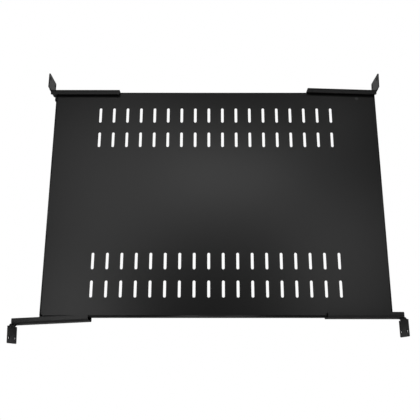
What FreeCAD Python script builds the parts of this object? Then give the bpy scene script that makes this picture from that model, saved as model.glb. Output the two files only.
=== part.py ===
import FreeCAD, Part
import math
import os

Vector = FreeCAD.Vector

# Frame
# X runs along the shelf's depth and Y across the rack.
# Z is up, with zero at the deck's top face and the origin at that face's centre.

# Rack fit
PANEL_WIDTH = 482.6
EAR_OUTSIDE_DECK = 32.3
RACK_HOLE_EDGE = 8.75
RACK_HOLE_SPACING = 31.75
RACK_HOLE_DIAMETER = 7.0

# Deck, as wide as the rack's panel leaves between the ears
DECK_LENGTH = 600.0
DECK_WIDTH = PANEL_WIDTH - 2 * EAR_OUTSIDE_DECK
DECK_SHEET = 1.5
DECK_BEND_INNER = 1.5
END_LIP_WIDTH = 10.0
CORNER_GAP = 0.4
CORNER_RELIEF_RADIUS = 2.4

# Vents
VENT_COUNT = 18
VENT_PITCH = 25.2
VENT_WIDTH = 6.2
VENT_LENGTH = 31.0
OUTER_ROW_EDGE = 32.0
INNER_ROW_EDGE = 80.5

# Stiffener under the deck
STIFFENER_INSET = 24.0
STIFFENER_SHEET = 1.2
STIFFENER_BEND_INNER = 1.2
STIFFENER_CROWN = 36.0
STIFFENER_DEPTH = 15.0
STIFFENER_FLANGE = 13.0

# Bracket
BRACKET_SHEET = 2.0
BRACKET_BEND_INNER = 2.0
ARM_LENGTH = 132.0
ARM_HEIGHT = 32.0
RETURN_WIDTH = 10.2
DECK_TO_ARM_TOP = 8.0
EAR_HEIGHT = 43.6
EAR_CORNER_RADIUS = 2.0
EAR_BEND_RELIEF = 2.0
RETURN_CORNER_RADIUS = 1.5

# Screws from inside the deck's walls into the tapped holes of the arms
SCREW_DIAMETER = 5.0
SCREW_LENGTH = 12.0
SCREW_TIP_CHAMFER = 0.7
HEAD_DIAMETER = 9.5
HEAD_HEIGHT = 3.7
HEAD_CROWN = 1.5
RECESS_SPAN = 4.9
RECESS_WING = 1.2
RECESS_DEPTH = 2.2
WASHER_DIAMETER = 10.0
WASHER_THICKNESS = 1.0
SLOT_CLEARANCE = 0.6
WASHER_CLEARANCE = 0.4
THREAD_CLEARANCE = 0.03
TIP_SHORT_OF_FACE = 1.0

# Depth adjustment: the screws slide in two slots near each deck corner
WALL_SLOT_LENGTH = 51.0
WALL_SLOT_INSET = 34.0
SCREW_PITCH = 58.0
ARM_HOLE_INSET = 60.0

# How far each bracket's ear plane stands beyond the deck's end
SLIDE_NEAR_LEFT = 47.0
SLIDE_NEAR_RIGHT = 20.0
SLIDE_FAR_LEFT = 12.0
SLIDE_FAR_RIGHT = 5.0

# How far a loose bracket is turned in plan, in degrees
SKEW_NEAR_LEFT = 2.7
SKEW_FAR_RIGHT = -1.9

# Each bracket: side along X, side along Y, slide, skew, and whether it is
# pulled out until its first washer meets the inside of the deck's wall
BRACKETS = {
    "near_left": (-1, -1, SLIDE_NEAR_LEFT, SKEW_NEAR_LEFT, True),
    "near_right": (1, -1, SLIDE_NEAR_RIGHT, 0.0, False),
    "far_left": (-1, 1, SLIDE_FAR_LEFT, 0.0, False),
    "far_right": (1, 1, SLIDE_FAR_RIGHT, SKEW_FAR_RIGHT, False),
}

# Sizes that follow from the values above
DECK_BEND_OUTER = DECK_BEND_INNER + DECK_SHEET
BRACKET_BEND_OUTER = BRACKET_BEND_INNER + BRACKET_SHEET
STIFFENER_LENGTH = DECK_LENGTH - 2 * STIFFENER_INSET
WALL_HEIGHT = ARM_HEIGHT - DECK_TO_ARM_TOP - BRACKET_BEND_OUTER
ARM_MIDDLE_Z = DECK_TO_ARM_TOP - ARM_HEIGHT / 2
EAR_REACH = EAR_OUTSIDE_DECK - BRACKET_SHEET
EAR_HOLE_REACH = EAR_REACH - RACK_HOLE_EDGE
WALL_SLOT_WIDTH = SCREW_DIAMETER + SLOT_CLEARANCE


def turn(before, corner, after):
    """Side to which a path turns at a corner: positive to the left."""
    ax = corner[0] - before[0]
    ay = corner[1] - before[1]
    bx = after[0] - corner[0]
    by = after[1] - corner[1]
    return ax * by - ay * bx


def unit(start, end):
    """Unit direction between two plane points."""
    length = math.hypot(end[0] - start[0], end[1] - start[1])
    return (end[0] - start[0]) / length, (end[1] - start[1]) / length


def left_offset(points, distance):
    """The same path moved to its left, with mitred corners."""
    moved = []
    last = len(points) - 1
    for index, (px, py) in enumerate(points):
        into = unit(points[max(index - 1, 0)], points[max(index, 1)])
        out = unit(points[min(index, last - 1)], points[min(index + 1, last)])
        nx = -(into[1] + out[1])
        ny = into[0] + out[0]
        scale = distance / (nx * -into[1] + ny * into[0])
        moved.append((px + nx * scale, py + ny * scale))
    return moved


def rounded_path(points, left_radius, right_radius, place):
    """Edges of an open path whose corners are tangent arcs."""
    edges = []
    start = points[0]
    for before, corner, after in zip(points, points[1:], points[2:]):
        side = turn(before, corner, after)
        radius = left_radius if side > 0 else right_radius
        into = unit(before, corner)
        out = unit(corner, after)
        cosine = into[0] * out[0] + into[1] * out[1]
        reach = radius * math.tan(math.acos(cosine) / 2)
        arc_start = (corner[0] - into[0] * reach, corner[1] - into[1] * reach)
        arc_end = (corner[0] + out[0] * reach, corner[1] + out[1] * reach)
        normal = (-into[1], into[0]) if side > 0 else (into[1], -into[0])
        centre = (arc_start[0] + normal[0] * radius, arc_start[1] + normal[1] * radius)
        away = unit(centre, corner)
        middle = (centre[0] + away[0] * radius, centre[1] + away[1] * radius)
        edges.append(Part.makeLine(place(*start), place(*arc_start)))
        edges.append(Part.Arc(place(*arc_start), place(*middle), place(*arc_end)).toShape())
        start = arc_end
    edges.append(Part.makeLine(place(*start), place(*points[-1])))
    return edges


def bent_sheet(points, sheet, bend_inner, place, sweep):
    """Bent strip: the skin follows points, the metal lies to their left."""
    bend_outer = bend_inner + sheet
    back = left_offset(points, sheet)
    edges = rounded_path(points, bend_outer, bend_inner, place)
    edges.append(Part.makeLine(place(*points[-1]), place(*back[-1])))
    edges += rounded_path(back[::-1], bend_outer, bend_inner, place)
    edges.append(Part.makeLine(place(*back[0]), place(*points[0])))
    wire = Part.Wire(Part.__sortEdges__(edges))
    return Part.Face(wire).extrude(sweep)


def slot_prism(length, width, along, base, sweep):
    """Round-ended slot, long along one axis, centred on base, swept."""
    across = sweep.cross(along)
    across.normalize()
    half = along * ((length - width) / 2)
    side = across * (width / 2)
    tip = along * (length / 2)
    right = Part.Arc(base + half - side, base + tip, base + half + side).toShape()
    left = Part.Arc(base - half + side, base - tip, base - half - side).toShape()
    top = Part.makeLine(base + half + side, base - half + side)
    low = Part.makeLine(base - half - side, base + half - side)
    return Part.Face(Part.Wire([right, top, left, low])).extrude(sweep)


def cylinder(radius, start, direction, length):
    """Cylinder from a start point along a direction."""
    return Part.makeCylinder(radius, length, start, direction)


def vent_tools():
    """Cutters of all vents: four rows, mirrored about the deck's middle."""
    tools = []
    along = Vector(0, 1, 0)
    sweep = Vector(0, 0, -3 * DECK_SHEET)
    first = -VENT_PITCH * (VENT_COUNT - 1) / 2
    for edge in (OUTER_ROW_EDGE, INNER_ROW_EDGE):
        row = DECK_WIDTH / 2 - edge - VENT_LENGTH / 2
        for side in (-1, 1):
            for index in range(VENT_COUNT):
                base = Vector(first + index * VENT_PITCH, side * row, DECK_SHEET)
                tools.append(slot_prism(VENT_LENGTH, VENT_WIDTH, along, base, sweep))
    return tools


def wall_slot_tools():
    """Cutters of the adjustment slots in the two long walls."""
    tools = []
    along = Vector(1, 0, 0)
    for index in (0, 1):
        distance = DECK_LENGTH / 2 - WALL_SLOT_INSET - index * SCREW_PITCH
        for end in (-1, 1):
            for side in (-1, 1):
                inside = side * (DECK_WIDTH / 2 - 2 * DECK_SHEET)
                base = Vector(end * distance, inside, ARM_MIDDLE_Z)
                sweep = Vector(0, side * 4 * DECK_SHEET, 0)
                tools.append(slot_prism(WALL_SLOT_LENGTH, WALL_SLOT_WIDTH, along, base, sweep))
    return tools


def deck_trough():
    """Deck top with its two long walls, one bent profile."""
    half = DECK_WIDTH / 2
    points = [(half, -WALL_HEIGHT), (half, 0), (-half, 0), (-half, -WALL_HEIGHT)]
    start = -(DECK_LENGTH / 2 - DECK_BEND_OUTER)
    sweep = Vector(-2 * start, 0, 0)
    return bent_sheet(points, DECK_SHEET, DECK_BEND_INNER, lambda a, b: Vector(start, a, b), sweep)


def deck_end(side):
    """End bend, end wall and the lip turned in under it."""
    half = DECK_LENGTH / 2
    span = DECK_WIDTH / 2 - DECK_BEND_OUTER
    flat = half - DECK_BEND_OUTER
    inboard = flat - DECK_BEND_OUTER
    points = [(half - END_LIP_WIDTH, -WALL_HEIGHT), (half, -WALL_HEIGHT), (half, 0), (inboard, 0)]
    sweep = Vector(0, 2 * span, 0)
    end = bent_sheet(points, DECK_SHEET, DECK_BEND_INNER, lambda a, b: Vector(a, -span, b), sweep)
    if side < 0:
        end = end.mirror(Vector(), Vector(1, 0, 0))
    return end


def wall_tongues():
    """Straight parts of the walls that close each corner below its relief."""
    pieces = []
    low = -WALL_HEIGHT
    top = -DECK_BEND_OUTER
    half_x = DECK_LENGTH / 2
    half_y = DECK_WIDTH / 2
    end_span = half_y - DECK_SHEET - CORNER_GAP
    for side in (-1, 1):
        long_wall = Part.makeBox(DECK_LENGTH, DECK_SHEET, top - low)
        long_wall.translate(Vector(-half_x, half_y - DECK_SHEET if side > 0 else -half_y, low))
        end_low = low + DECK_BEND_OUTER
        end_wall = Part.makeBox(DECK_SHEET, 2 * end_span, top - end_low)
        end_wall.translate(Vector(half_x - DECK_SHEET if side > 0 else -half_x, -end_span, end_low))
        pieces += [long_wall, end_wall]
    return pieces


def corner_reliefs():
    """Round reliefs where two bends meet."""
    tools = []
    for end in (-1, 1):
        for side in (-1, 1):
            x = end * (DECK_LENGTH / 2 - DECK_BEND_OUTER)
            y = side * (DECK_WIDTH / 2 - DECK_BEND_OUTER)
            start = Vector(x, y, DECK_SHEET)
            tools.append(cylinder(CORNER_RELIEF_RADIUS, start, Vector(0, 0, -1), 2.6 * DECK_SHEET))
    return tools


def make_deck():
    """Whole deck as one folded sheet."""
    body = deck_trough().fuse([deck_end(1), deck_end(-1)] + wall_tongues())
    body = body.removeSplitter()
    body = body.cut(vent_tools() + wall_slot_tools() + corner_reliefs())
    return body.Solids[0]


def make_stiffener():
    """Hat-section channel whose flanges lie on the deck's underside."""
    crown = STIFFENER_CROWN / 2
    rim = crown + STIFFENER_FLANGE
    top = -DECK_SHEET
    low = top - STIFFENER_DEPTH
    points = [(rim, top), (crown, top), (crown, low), (-crown, low), (-crown, top), (-rim, top)]
    points = [(-a, b) for a, b in points]
    points = left_offset(points, -STIFFENER_SHEET)
    shift = top - max(b for a, b in points) - STIFFENER_SHEET
    points = [(a, b + shift) for a, b in points]
    start = -STIFFENER_LENGTH / 2
    sweep = Vector(STIFFENER_LENGTH, 0, 0)
    return bent_sheet(
        points, STIFFENER_SHEET, STIFFENER_BEND_INNER, lambda a, b: Vector(start, a, b), sweep
    )


def arm_channel():
    """Arm of a bracket: web with a return at its top and its bottom."""
    half = ARM_HEIGHT / 2
    points = [(RETURN_WIDTH, -half), (0, -half), (0, half), (RETURN_WIDTH, half)]
    points = points[::-1]
    sweep = Vector(-(ARM_LENGTH - BRACKET_BEND_OUTER), 0, 0)
    start = -BRACKET_BEND_OUTER
    channel = bent_sheet(
        points, BRACKET_SHEET, BRACKET_BEND_INNER, lambda a, b: Vector(start, a, b), sweep
    )
    return round_return_corners(channel)


def round_return_corners(channel):
    """Rounds the four free corners of the two returns."""
    corners = []
    for edge in channel.Edges:
        box = edge.BoundBox
        upright = box.ZLength > 0.9 * BRACKET_SHEET and box.XLength + box.YLength < 0.001
        if upright and abs(box.YMin - RETURN_WIDTH) < 0.001:
            corners.append(edge)
    return channel.makeFillet(RETURN_CORNER_RADIUS, corners)


def ear_bend():
    """Quarter bend from the web into the ear."""
    height = ARM_HEIGHT - 2 * EAR_BEND_RELIEF
    base = Vector(-BRACKET_BEND_OUTER, -BRACKET_BEND_INNER, -height / 2)
    ring = Part.makeCylinder(BRACKET_BEND_OUTER, height, base, Vector(0, 0, 1), 90)
    bore = Part.makeCylinder(BRACKET_BEND_INNER, height, base)
    return ring.cut(bore)


def ear_plate():
    """Flat ear with rounded outer corners and two rack holes."""
    span = EAR_REACH - BRACKET_BEND_INNER
    plate = Part.makeBox(BRACKET_SHEET, span, EAR_HEIGHT)
    plate.translate(Vector(-BRACKET_SHEET, -EAR_REACH, -EAR_HEIGHT / 2))
    corners = []
    for edge in plate.Edges:
        box = edge.BoundBox
        if box.XLength > 0.9 * BRACKET_SHEET and abs(box.YMin + EAR_REACH) < 0.001:
            corners.append(edge)
    plate = plate.makeFillet(EAR_CORNER_RADIUS, corners)
    holes = []
    for side in (-1, 1):
        start = Vector(BRACKET_SHEET, -EAR_HOLE_REACH, side * RACK_HOLE_SPACING / 2)
        holes.append(cylinder(RACK_HOLE_DIAMETER / 2, start, Vector(-1, 0, 0), 3 * BRACKET_SHEET))
    return plate.cut(holes)


def tapped_holes():
    """Cutters of the two tapped holes in the web, threads left plain."""
    tools = []
    radius = SCREW_DIAMETER / 2 + THREAD_CLEARANCE
    for index in (0, 1):
        distance = ARM_HOLE_INSET + index * SCREW_PITCH
        start = Vector(-distance, -BRACKET_SHEET, 0)
        tools.append(cylinder(radius, start, Vector(0, 1, 0), 3 * BRACKET_SHEET))
    return tools


def make_bracket():
    """Bracket for a right near corner: ear plane at X zero, web face at Y zero."""
    body = arm_channel().fuse([ear_bend(), ear_plate()]).removeSplitter()
    body = body.cut(tapped_holes())
    return body.Solids[0]


def make_screw():
    """Pan-head screw along Y: head seat at Y zero, shank towards plus Y."""
    radius = SCREW_DIAMETER / 2
    head = HEAD_DIAMETER / 2
    straight = HEAD_HEIGHT - HEAD_CROWN
    crown_mid = Vector(head * 0.62, -(straight + HEAD_CROWN * 0.72), 0)
    outline = [
        Part.makeLine(Vector(0, SCREW_LENGTH, 0), Vector(radius - SCREW_TIP_CHAMFER, SCREW_LENGTH, 0)),
        Part.makeLine(
            Vector(radius - SCREW_TIP_CHAMFER, SCREW_LENGTH, 0),
            Vector(radius, SCREW_LENGTH - SCREW_TIP_CHAMFER, 0),
        ),
        Part.makeLine(Vector(radius, SCREW_LENGTH - SCREW_TIP_CHAMFER, 0), Vector(radius, 0, 0)),
        Part.makeLine(Vector(radius, 0, 0), Vector(head, 0, 0)),
        Part.makeLine(Vector(head, 0, 0), Vector(head, -straight, 0)),
        Part.Arc(Vector(head, -straight, 0), crown_mid, Vector(0, -HEAD_HEIGHT, 0)).toShape(),
        Part.makeLine(Vector(0, -HEAD_HEIGHT, 0), Vector(0, SCREW_LENGTH, 0)),
    ]
    body = Part.Face(Part.Wire(outline)).revolve(Vector(), Vector(0, 1, 0), 360)
    return body.cut(cross_recess())


def cross_recess():
    """Cutter of the cross recess, narrower towards its floor."""
    mouth = recess_outline(RECESS_SPAN / 2, RECESS_WING / 2, -1.03 * HEAD_HEIGHT)
    floor = recess_outline(RECESS_SPAN / 3.4, RECESS_WING / 3, -HEAD_HEIGHT + RECESS_DEPTH)
    return Part.makeLoft([mouth, floor], True, True)


def recess_outline(span, wing, height):
    """Twelve-cornered cross at one height of the screw's axis."""
    corners = []
    for quarter in range(4):
        angle = math.radians(90 * quarter)
        for a, b in ((span, -wing), (span, wing), (wing, wing)):
            x = a * math.cos(angle) - b * math.sin(angle)
            z = a * math.sin(angle) + b * math.cos(angle)
            corners.append(Vector(x, height, z))
    return Part.makePolygon(corners + corners[:1])


def make_washer():
    """Flat washer on the same axis, its back on the screw's head."""
    axis = Vector(0, 1, 0)
    ring = cylinder(WASHER_DIAMETER / 2, Vector(), axis, WASHER_THICKNESS)
    bore = cylinder((SCREW_DIAMETER + WASHER_CLEARANCE) / 2, Vector(), axis, WASHER_THICKNESS)
    return ring.cut(bore)


def corner_turn(end, side):
    """Half turn that brings the right near bracket to another corner."""
    if end > 0 and side > 0:
        return FreeCAD.Rotation(Vector(1, 0, 0), 180)
    if end < 0 and side > 0:
        return FreeCAD.Rotation(Vector(0, 0, 1), 180)
    if end < 0 and side < 0:
        return FreeCAD.Rotation(Vector(0, 1, 0), 180)
    return FreeCAD.Rotation()


def web_space(slide, skew, pulled_out):
    """Space between the deck's wall and the web at the first tapped hole."""
    angle = math.radians(abs(skew))
    if pulled_out:
        travel = TIP_SHORT_OF_FACE + SCREW_LENGTH - WASHER_THICKNESS - BRACKET_SHEET
        rim = WASHER_DIAMETER / 2 * math.sin(angle)
        return travel * math.cos(angle) - rim - DECK_SHEET
    return (ARM_HOLE_INSET - slide) * math.tan(angle)


def bracket_placement(end, side, slide, skew, pulled_out):
    """Placement of a bracket: turned at its first tapped hole, then moved."""
    wall = DECK_WIDTH / 2 + web_space(slide, skew, pulled_out)
    hole = Vector(end * (DECK_LENGTH / 2 + slide - ARM_HOLE_INSET), side * wall, ARM_MIDDLE_Z)
    yaw = FreeCAD.Rotation(Vector(0, 0, 1), skew)
    rotation = yaw.multiply(corner_turn(end, side))
    local_hole = Vector(-ARM_HOLE_INSET, BRACKET_SHEET, 0)
    return FreeCAD.Placement(hole - rotation.multVec(local_hole), rotation)


def placed(shape, placement):
    """Copy of a shape moved by a placement."""
    copy = shape.copy()
    copy.Placement = placement.multiply(copy.Placement)
    return copy


def fasteners(placement):
    """Screws and washers of one bracket, started in its tapped holes."""
    screws = []
    washers = []
    screw = make_screw()
    washer = make_washer()
    for index in (0, 1):
        distance = ARM_HOLE_INSET + index * SCREW_PITCH
        seat = Vector(-distance, TIP_SHORT_OF_FACE + SCREW_LENGTH, 0)
        outward = FreeCAD.Rotation(Vector(1, 0, 0), 180)
        spin = FreeCAD.Rotation(Vector(0, 1, 0), 25 + 40 * index)
        local = placement.multiply(FreeCAD.Placement(seat, outward.multiply(spin)))
        screws.append(placed(screw, local))
        washers.append(placed(washer, local))
    return Part.makeCompound(screws), Part.makeCompound(washers)


def write(name, shape):
    """Writes one node."""
    shape.exportStep("parts/" + name + ".step")


def main():
    os.makedirs("parts", exist_ok=True)
    write("deck", make_deck())
    write("stiffener", make_stiffener())
    bracket = make_bracket()
    for corner, setting in BRACKETS.items():
        placement = bracket_placement(*setting)
        write("bracket_" + corner, placed(bracket, placement))
        screws, washers = fasteners(placement)
        write("screws_" + corner, screws)
        write("washers_" + corner, washers)


main()
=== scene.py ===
"""Look of a vented four post rack shelf: coats, fastener threads, light and camera.

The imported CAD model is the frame. Its meshes stay as they are and take procedural
coats, apart from the deck, whose vents are drawn in to their painted opening, and
the screws, which get their threads.
"""
import logging
import math
from dataclasses import dataclass
from enum import Enum

import bmesh
import bpy
from mathutils import Matrix, Vector


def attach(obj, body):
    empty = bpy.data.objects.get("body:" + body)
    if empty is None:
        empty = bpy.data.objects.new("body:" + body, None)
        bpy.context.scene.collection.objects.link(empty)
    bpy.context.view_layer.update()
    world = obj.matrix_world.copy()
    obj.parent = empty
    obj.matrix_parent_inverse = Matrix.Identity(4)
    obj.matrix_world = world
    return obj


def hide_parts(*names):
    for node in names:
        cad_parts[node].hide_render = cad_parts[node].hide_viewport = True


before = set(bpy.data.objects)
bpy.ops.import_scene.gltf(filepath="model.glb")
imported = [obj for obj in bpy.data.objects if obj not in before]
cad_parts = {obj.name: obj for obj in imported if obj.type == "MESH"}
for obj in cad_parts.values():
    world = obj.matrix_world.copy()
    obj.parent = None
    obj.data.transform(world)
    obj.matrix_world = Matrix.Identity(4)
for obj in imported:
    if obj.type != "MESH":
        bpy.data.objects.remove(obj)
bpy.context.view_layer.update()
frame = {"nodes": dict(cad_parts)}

LOG = logging.getLogger("rack_shelf")
MM = 0.001
WELD = 0.002 * MM
NOISE_MIDDLE = 0.5


class Corner(Enum):
    """The four brackets, by the photo's sides."""

    NEAR_LEFT = "near_left"
    NEAR_RIGHT = "near_right"
    FAR_LEFT = "far_left"
    FAR_RIGHT = "far_right"


class Slot(Enum):
    """Material slot names, one for the deck and one for the fasteners."""

    DECK = "deck_coat"
    FASTENER = "fastener_steel"


@dataclass(frozen=True)
class WitnessMark:
    """Pale round mark on a coat: its middle, radius, edge and gain over the coat's tone."""

    x: float
    y: float
    radius: float
    sharpness: float
    gain: float


@dataclass(frozen=True)
class CoatFinish:
    """Satin powder coat: its grey, sheen, uneven tone and fine orange peel.

    Scales are in cells to a metre. A tone or swing is the range that a noise adds.
    """

    name: str
    grey: float = 0.012
    roughness: float = 0.30
    roughness_swing: float = 0.03
    specular: float = 0.5
    cloud_scale: float = 4.0
    cloud_tone: float = 0.10
    grain_scale: float = 160.0
    grain_tone: float = 0.06
    peel_scale: float = 900.0
    peel_rough: float = 0.6
    peel_strength: float = 0.05
    peel_height: float = 0.2 * MM
    mark: WitnessMark | None = None


@dataclass(frozen=True)
class SteelFinish:
    """Zinc-plated steel: its grey, its sheen and how far a fine noise moves both."""

    name: str
    grey: float
    roughness: float
    cloud_scale: float = 400.0
    grey_swing: float = 0.1
    roughness_swing: float = 0.12


DECK_COAT = CoatFinish(
    "deck_powder_coat",
    mark=WitnessMark(x=0.265, y=0.196, radius=0.0042, sharpness=450.0, gain=4.0),
)
BRACKET_COAT = CoatFinish("bracket_powder_coat", roughness=0.32)
ZINC = SteelFinish("zinc_plate", grey=0.42, roughness=0.34)


@dataclass(frozen=True)
class Sock:
    """Shader socket with arithmetic, so that a formula reads as one."""

    graph: "Graph"
    socket: bpy.types.NodeSocket

    def _math(self, kind: str, other: "Sock | float", swap: bool = False) -> "Sock":
        """One maths node.

        Args:
            kind: the operation's name.
            other: the second operand.
            swap: whether the second operand comes first.

        Returns:
            The result.
        """
        first, second = (other, self) if swap else (self, other)
        return self.graph.math(kind, first, second)

    def __add__(self, other: "Sock | float") -> "Sock":
        """Sum of two values."""
        return self._math("ADD", other)

    def __radd__(self, other: float) -> "Sock":
        """Sum with a plain number first."""
        return self._math("ADD", other, True)

    def __sub__(self, other: "Sock | float") -> "Sock":
        """Difference of two values."""
        return self._math("SUBTRACT", other)

    def __rsub__(self, other: float) -> "Sock":
        """Difference with a plain number first."""
        return self._math("SUBTRACT", other, True)

    def __mul__(self, other: "Sock | float") -> "Sock":
        """Product of two values."""
        return self._math("MULTIPLY", other)

    def __rmul__(self, other: float) -> "Sock":
        """Product with a plain number first."""
        return self._math("MULTIPLY", other, True)

    def root(self) -> "Sock":
        """Square root."""
        return self.graph.math("SQRT", self, 0.0)

    def clamped(self) -> "Sock":
        """This value held between zero and one."""
        return self.graph.math("MULTIPLY", self, 1.0, clamp=True)


class Graph:
    """Node graph whose every node comes from one method."""

    def __init__(self, tree: bpy.types.NodeTree) -> None:
        """Empties a node tree and takes it over.

        Args:
            tree: the tree of a material or of the surroundings.
        """
        self.nodes = tree.nodes
        self.links = tree.links
        self.nodes.clear()

    def node(
        self, kind: str, settings: dict[str, object] | None = None, **inputs: object
    ) -> bpy.types.Node:
        """Any node: its settings first, then its sockets.

        Args:
            kind: the node's type.
            settings: attribute names to values, such as a maths node's operation.
            inputs: socket name with underscores to a wrapped socket or a value.

        Returns:
            The node.
        """
        made = self.nodes.new(kind)
        for key, value in (settings or {}).items():
            setattr(made, key, value)
        self.feed_all(made, inputs)
        return made

    def feed(self, target: bpy.types.NodeSocket, value: object) -> None:
        """Links a wrapped socket, or sets a plain value.

        Args:
            target: the input socket.
            value: a wrapped socket or a plain value.
        """
        if isinstance(value, Sock):
            self.links.new(value.socket, target)
        else:
            target.default_value = value

    def feed_all(self, node: bpy.types.Node, inputs: dict[str, object]) -> None:
        """Feeds a node's named sockets.

        Args:
            node: the node.
            inputs: socket name with underscores to a wrapped socket or a value.
        """
        for key, value in inputs.items():
            self.feed(node.inputs[key.replace("_", " ")], value)

    def math(self, kind: str, first: object, second: object, clamp: bool = False) -> Sock:
        """A maths node.

        Args:
            kind: the operation's name.
            first: the first operand.
            second: the second operand.
            clamp: whether the result is held between zero and one.

        Returns:
            The result.
        """
        made = self.node("ShaderNodeMath", {"operation": kind, "use_clamp": clamp})
        self.feed(made.inputs[0], first)
        self.feed(made.inputs[1], second)
        return Sock(self, made.outputs[0])

    def place(self) -> tuple[Sock, Sock, Sock, Sock]:
        """Object coordinates.

        Returns:
            The whole vector, then X, Y and Z in metres.
        """
        whole = Sock(self, self.node("ShaderNodeTexCoord").outputs["Object"])
        split = self.node("ShaderNodeSeparateXYZ", Vector=whole)
        return whole, *(Sock(self, output) for output in split.outputs)

    def noise(
        self, where: Sock, scale: float, rough: float = 0.5, octaves: float = 2.0
    ) -> Sock:
        """Fractal noise.

        Args:
            where: the coordinates.
            scale: cells in a metre.
            rough: strength of the finer octaves.
            octaves: how many finer octaves it has.

        Returns:
            A value about one half.
        """
        made = self.node(
            "ShaderNodeTexNoise", Vector=where, Scale=scale, Detail=octaves, Roughness=rough
        )
        return Sock(self, made.outputs[0])

    def bump(self, height: Sock, strength: float, distance: float) -> Sock:
        """A bumped normal.

        Args:
            height: the height field.
            strength: share of the bump used.
            distance: height of the field's range in metres.

        Returns:
            The normal.
        """
        made = self.node("ShaderNodeBump", Height=height, Strength=strength, Distance=distance)
        return Sock(self, made.outputs[0])

    def grey(self, value: Sock) -> Sock:
        """A grey colour from a value."""
        made = self.node("ShaderNodeCombineColor", Red=value, Green=value, Blue=value)
        return Sock(self, made.outputs[0])


class Finish(Graph):
    """Node graph of one material, with its output and principled shader."""

    def __init__(self, name: str) -> None:
        """Makes the material.

        Args:
            name: the material's name.
        """
        self.material = bpy.data.materials.new(name)
        self.material.use_nodes = True
        super().__init__(self.material.node_tree)
        self.shader = self.node("ShaderNodeBsdfPrincipled")
        self.node("ShaderNodeOutputMaterial", Surface=Sock(self, self.shader.outputs["BSDF"]))

    def surface(self, **inputs: object) -> None:
        """Feeds the principled shader.

        Args:
            inputs: socket name with underscores to a wrapped socket or a value.
        """
        self.feed_all(self.shader, inputs)


class Paint:
    """Makes the finishes of the shelf."""

    @staticmethod
    def coat(finish: CoatFinish) -> bpy.types.Material:
        """Satin powder coat.

        Args:
            finish: its values.

        Returns:
            The material.
        """
        graph = Finish(finish.name)
        where, x, y, _z = graph.place()
        cloud = graph.noise(where, finish.cloud_scale)
        grain = graph.noise(where, finish.grain_scale)
        peel = graph.noise(where, finish.peel_scale, finish.peel_rough)
        tone = (
            1.0
            + finish.cloud_tone * (cloud - NOISE_MIDDLE)
            + finish.grain_tone * (grain - NOISE_MIDDLE)
        )
        if finish.mark:
            tone = tone * (1.0 + Paint.witness_mark(x, y, finish.mark) * finish.mark.gain)
        base = (tone * finish.grey).clamped()
        rough = finish.roughness + finish.roughness_swing * (cloud - NOISE_MIDDLE)
        graph.surface(
            Base_Color=graph.grey(base),
            Roughness=rough.clamped(),
            Normal=graph.bump(peel, finish.peel_strength, finish.peel_height),
            Specular_IOR_Level=finish.specular,
        )
        return graph.material

    @staticmethod
    def witness_mark(x: Sock, y: Sock, mark: WitnessMark) -> Sock:
        """Mask of the deck's pale round mark.

        Args:
            x: depth position in metres.
            y: position across the rack in metres.
            mark: its place and size.

        Returns:
            One inside the mark and zero outside.
        """
        dx = x - mark.x
        dy = y - mark.y
        away = (dx * dx + dy * dy).root()
        return ((mark.radius - away) * mark.sharpness).clamped()

    @staticmethod
    def steel(finish: SteelFinish) -> bpy.types.Material:
        """Zinc-plated steel.

        Args:
            finish: its values.

        Returns:
            The material.
        """
        graph = Finish(finish.name)
        where, *_axes = graph.place()
        cloud = graph.noise(where, finish.cloud_scale)
        rough = finish.roughness + finish.roughness_swing * (cloud - NOISE_MIDDLE)
        graph.surface(
            Base_Color=graph.grey(finish.grey + finish.grey_swing * (cloud - NOISE_MIDDLE)),
            Metallic=1.0,
            Roughness=rough.clamped(),
        )
        return graph.material


def flat_grey(value: float) -> tuple[float, float, float, float]:
    """A plain opaque grey."""
    return value, value, value, 1.0


def finished(name: str, form: bmesh.types.BMesh) -> bpy.types.Object:
    """Turns a finished form into an object of the scene.

    Args:
        name: the object's name.
        form: its mesh, in the frame's place.

    Returns:
        The object.
    """
    mesh = bpy.data.meshes.new(name)
    form.to_mesh(mesh)
    form.free()
    item = bpy.data.objects.new(name, mesh)
    bpy.context.scene.collection.objects.link(item)
    return item


def merged_copy(node: bpy.types.Object) -> bmesh.types.BMesh:
    """A node's mesh as one welded form.

    Args:
        node: the CAD node, which stays as it is.

    Returns:
        The form, with faces outward.
    """
    form = bmesh.new()
    form.from_mesh(node.data)
    bmesh.ops.remove_doubles(form, verts=form.verts, dist=WELD)
    bmesh.ops.recalc_face_normals(form, faces=form.faces)
    return form


@dataclass
class CadPieces:
    """The nodes that keep their CAD meshes: stiffener, brackets and washers."""

    nodes: dict[str, bpy.types.Object]

    def dress(
        self, deck: bpy.types.Material, bracket: bpy.types.Material, zinc: bpy.types.Material
    ) -> list[bpy.types.Object]:
        """Gives each node its finish.

        Args:
            deck: the coat of deck and stiffener.
            bracket: the coat of the brackets.
            zinc: the plating of the washers.

        Returns:
            The dressed nodes.
        """
        pieces = [self.fill("stiffener", deck)]
        for corner in Corner:
            pieces.append(self.fill(f"bracket_{corner.value}", bracket))
            pieces.append(self.fill(f"washers_{corner.value}", zinc))
        return pieces

    def fill(self, name: str, material: bpy.types.Material) -> bpy.types.Object:
        """Puts one material in all slots of a node.

        Args:
            name: the node.
            material: its finish.

        Returns:
            The node.
        """
        for slot in self.nodes[name].material_slots:
            slot.material = material
        return self.nodes[name]


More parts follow.
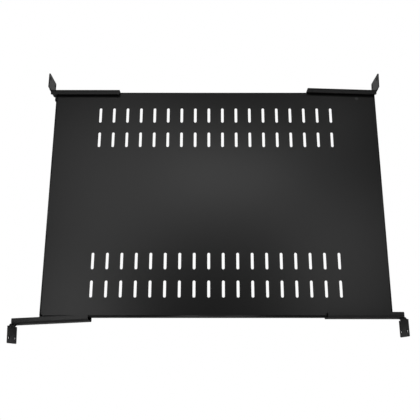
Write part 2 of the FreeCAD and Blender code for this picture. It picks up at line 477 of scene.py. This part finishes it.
@dataclass
class VentedDeck:
    """The folded deck, its vents drawn in from their cut to their painted opening.

    All sizes are in metres, width before length. A row is given by its middle line, on
    both sides of the deck. A point within the slack of a cut's outline is on its rim.
    """

    rows: tuple[float, ...] = (0.113, 0.1615)
    count: int = 18
    pitch: float = 0.0252
    cut: tuple[float, float] = (0.0062, 0.0310)
    opening: tuple[float, float] = (0.0048, 0.0292)
    slack: float = 0.05 * MM

    def build(self, node: bpy.types.Object, coat: bpy.types.Material) -> bpy.types.Object:
        """Makes the deck.

        Args:
            node: the CAD deck.
            coat: its finish.

        Returns:
            The deck that stands for the node.
        """
        form = merged_copy(node)
        moved = sum(self.draw_in(vert) for vert in form.verts)
        LOG.info("%d points of the vents' rims drawn in", moved)
        item = finished("deck_sheet", form)
        item.data.materials.append(coat)
        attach(item, "root")
        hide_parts("deck")
        return item

    def draw_in(self, vert: bmesh.types.BMVert) -> bool:
        """Moves a point of a vent's rim to the smaller opening.

        Args:
            vert: any point of the deck.

        Returns:
            Whether the point is on a rim.
        """
        across, along = self.nearest(vert.co)
        reach = self.cut[0] / 2
        half = self.cut[1] / 2 - reach
        dx = vert.co.x - across
        dy = vert.co.y - along
        middle = min(max(dy, -half), half)
        if abs(math.hypot(dx, dy - middle) - reach) > self.slack:
            return False
        new_reach = self.opening[0] / 2
        new_half = self.opening[1] / 2 - new_reach
        vert.co.x = across + dx * new_reach / reach
        vert.co.y = along + middle * new_half / half + (dy - middle) * new_reach / reach
        return True

    def nearest(self, point: Vector) -> tuple[float, float]:
        """Middle of the vent nearest to a point.

        Args:
            point: a place on the deck.

        Returns:
            The middle's X and Y.
        """
        first = -(self.count - 1) / 2
        index = min(max(round(point.x / self.pitch - first), 0), self.count - 1)
        middles = [side * row for row in self.rows for side in (-1, 1)]
        along = min(middles, key=lambda middle: abs(middle - point.y))
        return (first + index) * self.pitch, along


@dataclass(frozen=True)
class BracketPlace:
    """How one bracket sits on the deck.

    The end and side are minus or plus one, along X and Y. The slide is how far its ear
    stands beyond the deck's end and the space how far it is off the wall, in metres.
    The skew is its turn about the upright, in degrees.
    """

    end: int
    side: int
    slide: float
    skew: float = 0.0
    space: float = 0.0


PLACES = {
    Corner.NEAR_LEFT: BracketPlace(end=-1, side=-1, slide=0.047, skew=2.7, space=0.0082534),
    Corner.NEAR_RIGHT: BracketPlace(end=1, side=-1, slide=0.020),
    Corner.FAR_LEFT: BracketPlace(end=-1, side=1, slide=0.012),
    Corner.FAR_RIGHT: BracketPlace(end=1, side=1, slide=0.005, skew=-1.9, space=0.0018246),
}


@dataclass
class ThreadedScrews:
    """A bracket's pair of M5 screws with their threads, in metres.

    The thread starts and stops at depths under the head and fades over its run-out. Its
    ridge is given by points of radius and share of the pitch, with the foot sunk in the
    core. The two slacks tell the shank's points from the rest.
    """

    half_deck: tuple[float, float] = (0.300, 0.209)
    hole_inset: float = 0.060
    hole_height: float = -0.008
    pair: int = 2
    spacing: float = 0.058
    seat_back: float = 0.011
    major: float = 0.0025
    core: float = 0.0020
    seat_slack: float = 0.01 * MM
    shank_slack: float = 0.02 * MM
    pitch: float = 0.0008
    start: float = 0.0004
    stop: float = 0.0111
    run_out: float = 0.0008
    sunk: float = 0.0019
    ridge: tuple[tuple[float, float], ...] = (
        (0.0019, 0.0),
        (0.0019, 0.66),
        (0.0025, 0.40),
        (0.0025, 0.26),
    )
    steps: int = 20

    def build(
        self, corner: Corner, node: bpy.types.Object, zinc: bpy.types.Material
    ) -> bpy.types.Object:
        """Makes one pair.

        Args:
            corner: the bracket.
            node: its CAD screws.
            zinc: their finish.

        Returns:
            The pair that stands for the node.
        """
        form = merged_copy(node)
        for index in range(self.pair):
            seat, axis = self.seat(PLACES[corner], index)
            self.turn_down(form, seat, axis)
            self.wind_thread(form, seat, axis)
        bmesh.ops.recalc_face_normals(form, faces=form.faces)
        item = finished(f"threaded_screws_{corner.value}", form)
        item.data.materials.append(zinc)
        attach(item, "root")
        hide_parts(f"screws_{corner.value}")
        return item

    def seat(self, place: BracketPlace, index: int) -> tuple[Vector, Vector]:
        """Where a screw's head seats and which way its shank points.

        Args:
            place: how the bracket sits.
            index: nought for the hole near the ear, one for the other.

        Returns:
            The middle of the head's underside and the unit axis.
        """
        turn = Matrix.Rotation(math.radians(place.skew), 3, "Z")
        along = turn @ Vector((-place.end, 0.0, 0.0))
        axis = turn @ Vector((0.0, place.side, 0.0))
        hole = Vector((
            place.end * (self.half_deck[0] + place.slide - self.hole_inset),
            place.side * (self.half_deck[1] + place.space),
            self.hole_height,
        ))
        return hole + along * self.spacing * index - axis * self.seat_back, axis

    @staticmethod
    def depth_and_ray(point: Vector, seat: Vector, axis: Vector) -> tuple[float, Vector]:
        """A point's place on a screw.

        Args:
            point: the point.
            seat: the middle of the head's underside.
            axis: the way the shank points.

        Returns:
            The depth under the head and the ray out from the axis.
        """
        away = point - seat
        depth = away.dot(axis)
        return depth, away - axis * depth

    def turn_down(self, form: bmesh.types.BMesh, seat: Vector, axis: Vector) -> None:
        """Takes the plain shank down to the thread's core.

        Args:
            form: the pair.
            seat: the middle of the head's underside.
            axis: the way the shank points.
        """
        for vert in form.verts:
            depth, ray = self.depth_and_ray(vert.co, seat, axis)
            on_shank = self.core < ray.length < self.major + self.shank_slack
            if depth > -self.seat_slack and on_shank:
                vert.co -= ray * (1.0 - self.core / ray.length)

    def wind_thread(self, form: bmesh.types.BMesh, seat: Vector, axis: Vector) -> None:
        """Winds the thread's ridge round the core.

        Args:
            form: the pair.
            seat: the middle of the head's underside.
            axis: the way the shank points.
        """
        before = set(form.verts)
        outward = Vector((0.0, 0.0, 1.0))
        section = [
            form.verts.new(seat + outward * reach + axis * (self.start + share * self.pitch))
            for reach, share in self.ridge
        ]
        turns = (self.stop - self.start) / self.pitch - 1.0
        steps = round(turns * self.steps)
        bmesh.ops.spin(
            form,
            geom=[form.faces.new(section)],
            cent=seat,
            axis=axis,
            dvec=axis * self.pitch / self.steps,
            angle=math.tau * steps / self.steps,
            steps=steps,
        )
        for vert in form.verts:
            if vert not in before:
                self.run_thread_out(vert, seat, axis)

    def run_thread_out(self, vert: bmesh.types.BMVert, seat: Vector, axis: Vector) -> None:
        """Sinks a point of the ridge into the core near the thread's ends.

        Args:
            vert: the point.
            seat: the middle of the head's underside.
            axis: the way the shank points.
        """
        depth, ray = self.depth_and_ray(vert.co, seat, axis)
        room = min(depth - self.start, self.stop - depth) / self.run_out
        height = (ray.length - self.sunk) * min(max(room, 0.0), 1.0)
        vert.co -= ray * (1.0 - (self.sunk + height) / ray.length)


@dataclass(frozen=True)
class Softbox:
    """One softbox by its place, its size, its radiance and its tilt from facing down."""

    name: str
    place: tuple[float, float, float]
    size: tuple[float, float]
    radiance: float
    tilt: float = 0.0


@dataclass
class Studio:
    """White paper, soft light and the photo's camera, in metres and degrees.

    The card's box is its lowest and highest X, then its lowest and highest Y. The
    steepness is how high the surroundings' fade starts and ends, from level to upright.
    """

    floor: float = 16.0
    drop: float = -0.0299
    paper_gap: float = 0.0004
    table_grey: float = 0.80
    table_roughness: float = 0.9
    dome_radius: float = 7.5
    dome_subdivisions: int = 4
    softboxes: tuple[Softbox, ...] = (
        Softbox("near_left", place=(-0.71, -0.18, 1.94), size=(0.25, 0.78), radiance=3.18),
        Softbox("far_left", place=(-0.61, 0.70, 1.94), size=(0.67, 0.89), radiance=1.09),
        Softbox("middle", place=(-0.01, 0.70, 1.94), size=(0.88, 0.25), radiance=3.39),
        Softbox("far_right", place=(0.71, 1.06, 1.94), size=(0.25, 0.25), radiance=2.39),
        Softbox("right", place=(0.68, 0.23, 1.94), size=(0.54, 0.71), radiance=1.42),
        Softbox("front", place=(0.0, -1.50, 1.40), size=(2.40, 1.00), radiance=0.55, tilt=47.0),
    )
    zenith: float = 0.03
    horizon: float = 0.40
    steepness: tuple[float, float] = (0.0, 0.7)
    card_box: tuple[float, float, float, float] = (-0.60, 0.60, 0.214, 0.80)
    card_glow: float = 0.33
    eye: tuple[float, float, float] = (-0.0104, -0.2871, 0.9701)
    pitch: float = 74.68
    roll: float = 0.02
    focal_px: float = 565.8
    frame_px: float = 420.0
    sensor_mm: float = 36.0
    clip: tuple[float, float] = (0.05, 50.0)

    def build(self) -> None:
        """Makes floor, backdrop, surroundings, lamps and camera."""
        lamps = [self.lamp(softbox) for softbox in self.softboxes]
        self.paper()
        self.table()
        self.card()
        self.dome()
        self.camera()
        self.surroundings()

    def sheet(
        self, name: str, width: float, depth: float, middle: tuple[float, float, float]
    ) -> bpy.types.Object:
        """A level sheet.

        Args:
            name: its name.
            width: its size along X.
            depth: its size along Y.
            middle: where its middle lies.

        Returns:
            The sheet.
        """
        form = bmesh.new()
        bmesh.ops.create_grid(form, x_segments=1, y_segments=1, size=1.0)
        bmesh.ops.scale(form, verts=form.verts, vec=(width / 2, depth / 2, 1.0))
        bmesh.ops.translate(form, verts=form.verts, vec=middle)
        return finished(name, form)

    def paper(self) -> bpy.types.Object:
        """The pale floor as the camera sees it, evenly bright.

        Returns:
            The floor's visible sheet.
        """
        item = self.sheet("floor_paper", self.floor, self.floor, (0.0, 0.0, self.drop))
        self.glow(item)
        return item

    def table(self) -> bpy.types.Object:
        """The floor that takes the light and that the coat reflects.

        Returns:
            The floor's sheet for light, which the camera doesn't see.
        """
        middle = (0.0, 0.0, self.drop - self.paper_gap)
        item = self.sheet("floor_table", self.floor, self.floor, middle)
        graph = Finish("pale_table")
        graph.surface(Base_Color=flat_grey(self.table_grey), Roughness=self.table_roughness)
        item.data.materials.append(graph.material)
        item.visible_camera = False
        return item

    def card(self) -> bpy.types.Object:
        """Reflector card on the floor behind the shelf, which the far ears mirror.

        Returns:
            The card, which shows in reflections alone.
        """
        low_x, high_x, low_y, high_y = self.card_box
        height = self.drop - self.paper_gap / 2
        middle = ((low_x + high_x) / 2, (low_y + high_y) / 2, height)
        item = self.sheet("reflector_card", high_x - low_x, high_y - low_y, middle)
        self.glow(item, self.card_glow)
        item.visible_camera = False
        item.visible_glossy = True
        return item

    def dome(self) -> bpy.types.Object:
        """The pale backdrop all round.

        Returns:
            The backdrop.
        """
        form = bmesh.new()
        bmesh.ops.create_icosphere(
            form, subdivisions=self.dome_subdivisions, radius=self.dome_radius
        )
        item = finished("backdrop", form)
        self.glow(item)
        return item

    def glow(self, item: bpy.types.Object, strength: float = 1.0) -> None:
        """Makes a sheet evenly bright to the camera alone, with no light on the shelf.

        Args:
            item: the sheet.
            strength: how bright it is, one for white.
        """
        graph = Finish(item.name)
        graph.surface(
            Base_Color=flat_grey(0.0),
            Specular_IOR_Level=0.0,
            Emission_Color=flat_grey(1.0),
            Emission_Strength=strength,
        )
        item.data.materials.append(graph.material)
        item.visible_diffuse = False
        item.visible_glossy = False
        item.visible_transmission = False
        item.visible_shadow = False

    def surroundings(self) -> None:
        """A dim room, paler towards the horizon."""
        world = bpy.data.worlds.new("room")
        world.use_nodes = True
        graph = Graph(world.node_tree)
        direction = Sock(graph, graph.node("ShaderNodeTexCoord").outputs["Generated"])
        split = graph.node("ShaderNodeSeparateXYZ", Vector=direction)
        low, high = self.steepness
        fade = graph.node(
            "ShaderNodeMapRange",
            {"interpolation_type": "SMOOTHSTEP"},
            Value=Sock(graph, split.outputs["Z"]),
            From_Min=low,
            From_Max=high,
            To_Min=self.horizon,
            To_Max=self.zenith,
        )
        glow = graph.node("ShaderNodeBackground", Strength=Sock(graph, fade.outputs["Result"]))
        graph.node("ShaderNodeOutputWorld", Surface=Sock(graph, glow.outputs["Background"]))
        bpy.context.scene.world = world

    def lamp(self, softbox: Softbox) -> bpy.types.Object:
        """One softbox, tilted from facing down towards the shelf's far side.

        Args:
            softbox: its values.

        Returns:
            The lamp.
        """
        data = bpy.data.lights.new("softbox_" + softbox.name, "AREA")
        data.shape = "RECTANGLE"
        data.size, data.size_y = softbox.size
        data.energy = softbox.radiance * math.pi * softbox.size[0] * softbox.size[1]
        item = bpy.data.objects.new(data.name, data)
        item.location = softbox.place
        item.rotation_euler.x = math.radians(softbox.tilt)
        bpy.context.scene.collection.objects.link(item)
        return item

    def camera(self) -> bpy.types.Object:
        """The photo's viewpoint.

        Returns:
            The camera, which the scene then looks through.
        """
        data = bpy.data.cameras.new("camera")
        data.sensor_fit = "HORIZONTAL"
        data.sensor_width = self.sensor_mm
        data.lens = self.focal_px / self.frame_px * self.sensor_mm
        data.clip_start, data.clip_end = self.clip
        item = bpy.data.objects.new("camera", data)
        tilt = Matrix.Rotation(math.radians(90.0 - self.pitch), 4, "X")
        roll = Matrix.Rotation(math.radians(self.roll), 4, "Z")
        item.matrix_world = Matrix.Translation(self.eye) @ tilt @ roll
        bpy.context.scene.collection.objects.link(item)
        bpy.context.scene.camera = item
        return item


def view_transform() -> None:
    """Plain transfer, so that the paper stays white."""
    settings = bpy.context.scene.view_settings
    settings.view_transform = "Standard"
    settings.look = "None"


def main(packed: dict) -> None:
    """Builds the look.
    """
    logging.basicConfig(level=logging.INFO)
    nodes = packed["nodes"]
    deck_coat = Paint.coat(DECK_COAT)
    bracket_coat = Paint.coat(BRACKET_COAT)
    zinc = Paint.steel(ZINC)
    pieces = [VentedDeck().build(nodes["deck"], deck_coat)]
    pieces += CadPieces(nodes).dress(deck_coat, bracket_coat, zinc)
    screws = ThreadedScrews()
    for corner in Corner:
        pieces.append(screws.build(corner, nodes[f"screws_{corner.value}"], zinc))
    for piece in pieces:
        finish = piece.material_slots[0].material.name
        LOG.info("%s: %d faces in %s", piece.name, len(piece.data.polygons), finish)
    Studio().build()
    view_transform()


if __name__ == "__main__":
    main(frame)
